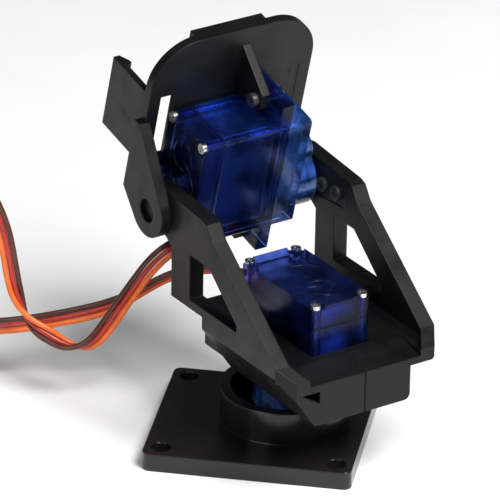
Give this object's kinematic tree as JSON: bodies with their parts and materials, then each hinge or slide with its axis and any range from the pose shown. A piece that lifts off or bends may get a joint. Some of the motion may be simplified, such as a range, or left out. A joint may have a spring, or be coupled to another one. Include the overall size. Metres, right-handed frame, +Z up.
{
  "type": "pan tilt camera mount",
  "caption": "Small powered bracket that turns and nods a clip-in camera above a flat screw-down base.",
  "frame": {"origin": "where the pan axis meets the underside of the base plate", "axes": "+Z up along the pan axis; +X and +Y along the edges of the base plate; at pan neutral the camera looks along +Y"},
  "size_m": [0.1002, 0.064, 0.0738],
  "materials": {
    "black_nylon": "satin black moulded nylon",
    "blue_case": "clear blue moulded plastic",
    "white_nylon": "moulded white nylon",
    "steel": "bright plated steel",
    "black_steel": "blackened steel",
    "motor_can": "drawn steel can",
    "pinion_brass": "cut brass",
    "sensor_black": "moulded plastic",
    "board_green": "coated circuit board",
    "wire_insulation": "soft coloured insulation",
    "plug_black": "moulded plastic"
  },
  "bodies": {
    "base": {"base_plate": "black_nylon", "pan_horn": "black_nylon", "pan_horn_centre_screw": "steel", "pan_horn_screws": "black_steel", "pan_servo_output_gear": "white_nylon", "pan_servo_sensor_shaft": "steel"},
    "yoke": {"yoke_left": "black_nylon", "yoke_right": "black_nylon", "yoke_screws": "black_steel", "pan_servo_bottom_cover": "blue_case", "pan_servo_case_body": "blue_case", "pan_servo_gear_cover": "blue_case", "pan_servo_case_screws": "steel", "pan_servo_motor": "motor_can", "pan_servo_gear_pin": "steel", "pan_servo_sensor": "sensor_black", "pan_servo_circuit_board": "board_green", "pan_servo_cable": "wire_insulation", "pan_cable_plug": "plug_black", "tilt_horn": "black_nylon", "tilt_horn_centre_screw": "steel", "tilt_horn_screws": "black_steel", "tilt_servo_output_gear": "white_nylon", "tilt_servo_sensor_shaft": "steel", "tilt_servo_cable": "wire_insulation", "tilt_cable_plug": "plug_black"},
    "head": {"camera_plate": "black_nylon", "tilt_servo_mount_screws": "black_steel", "tilt_servo_cable_root": "wire_insulation", "tilt_servo_bottom_cover": "blue_case", "tilt_servo_case_body": "blue_case", "tilt_servo_gear_cover": "blue_case", "tilt_servo_case_screws": "steel", "tilt_servo_motor": "motor_can", "tilt_servo_gear_pin": "steel", "tilt_servo_sensor": "sensor_black", "tilt_servo_circuit_board": "board_green"},
    "pan_gear_3": {"pan_servo_gear_3": "white_nylon"},
    "pan_gear_2": {"pan_servo_gear_2": "white_nylon"},
    "pan_gear_1": {"pan_servo_gear_1": "white_nylon"},
    "pan_motor_pinion": {"pan_servo_motor_pinion": "pinion_brass"},
    "tilt_gear_3": {"tilt_servo_gear_3": "white_nylon"},
    "tilt_gear_2": {"tilt_servo_gear_2": "white_nylon"},
    "tilt_gear_1": {"tilt_servo_gear_1": "white_nylon"},
    "tilt_motor_pinion": {"tilt_servo_motor_pinion": "pinion_brass"}
  },
  "joints": [
    {"name": "pan", "type": "hinge", "parent": "base", "child": "yoke", "pos_m": [0, 0, 0.0067], "axis": [0, 0, 1], "range_deg": [-133, 47]},
    {"name": "tilt", "type": "hinge", "parent": "yoke", "child": "head", "pos_m": [-0.01162, 0.01246, 0.0418], "axis": [0.7314, 0.682, 0], "range_deg": [-84.4, 65.6]},
    {"name": "pan_gear_3_spin", "type": "hinge", "parent": "yoke", "child": "pan_gear_3", "pos_m": [0.00409, -0.00439, 0.0125], "axis": [0, 0, 1], "range_deg": [-400, 142]},
    {"name": "pan_gear_2_spin", "type": "hinge", "parent": "yoke", "child": "pan_gear_2", "pos_m": [0, 0, 0.0137], "axis": [0, 0, 1], "range_deg": [-424, 1198]},
    {"name": "pan_gear_1_spin", "type": "hinge", "parent": "yoke", "child": "pan_gear_1", "pos_m": [0.00409, -0.00439, 0.015], "axis": [0, 0, 1], "range_deg": [-3592, 1270]},
    {"name": "pan_motor_pinion_spin", "type": "hinge", "parent": "yoke", "child": "pan_motor_pinion", "pos_m": [0.00737, -0.0079, 0.0157], "axis": [0, 0, 1], "range_deg": [-3808, 10774]},
    {"name": "tilt_gear_3_spin", "type": "hinge", "parent": "head", "child": "tilt_gear_3", "pos_m": [-0.00505, 0.01655, 0.04761], "axis": [0.7314, 0.682, 0], "range_deg": [-254.2, 197.8]},
    {"name": "tilt_gear_2_spin", "type": "hinge", "parent": "head", "child": "tilt_gear_2", "pos_m": [-0.00694, 0.01683, 0.0418], "axis": [0.7314, 0.682, 0], "range_deg": [-591.4, 760.6]},
    {"name": "tilt_gear_1_spin", "type": "hinge", "parent": "head", "child": "tilt_gear_1", "pos_m": [-0.00687, 0.01485, 0.04761], "axis": [0.7314, 0.682, 0], "range_deg": [-2279.8, 1772.2]},
    {"name": "tilt_motor_pinion_spin", "type": "hinge", "parent": "head", "child": "tilt_motor_pinion", "pos_m": [-0.00657, 0.0135, 0.05226], "axis": [0.7314, 0.682, 0], "range_deg": [-5314.6, 6837.4]}
  ],
  "couplings": [
    {"joint": "pan_gear_3_spin", "follows": "pan", "ratio": 3},
    {"joint": "pan_gear_2_spin", "follows": "pan", "ratio": -9},
    {"joint": "pan_gear_1_spin", "follows": "pan", "ratio": 27},
    {"joint": "pan_motor_pinion_spin", "follows": "pan", "ratio": -81},
    {"joint": "tilt_gear_3_spin", "follows": "tilt", "ratio": 3},
    {"joint": "tilt_gear_2_spin", "follows": "tilt", "ratio": -9},
    {"joint": "tilt_gear_1_spin", "follows": "tilt", "ratio": 27},
    {"joint": "tilt_motor_pinion_spin", "follows": "tilt", "ratio": -81}
  ]
}
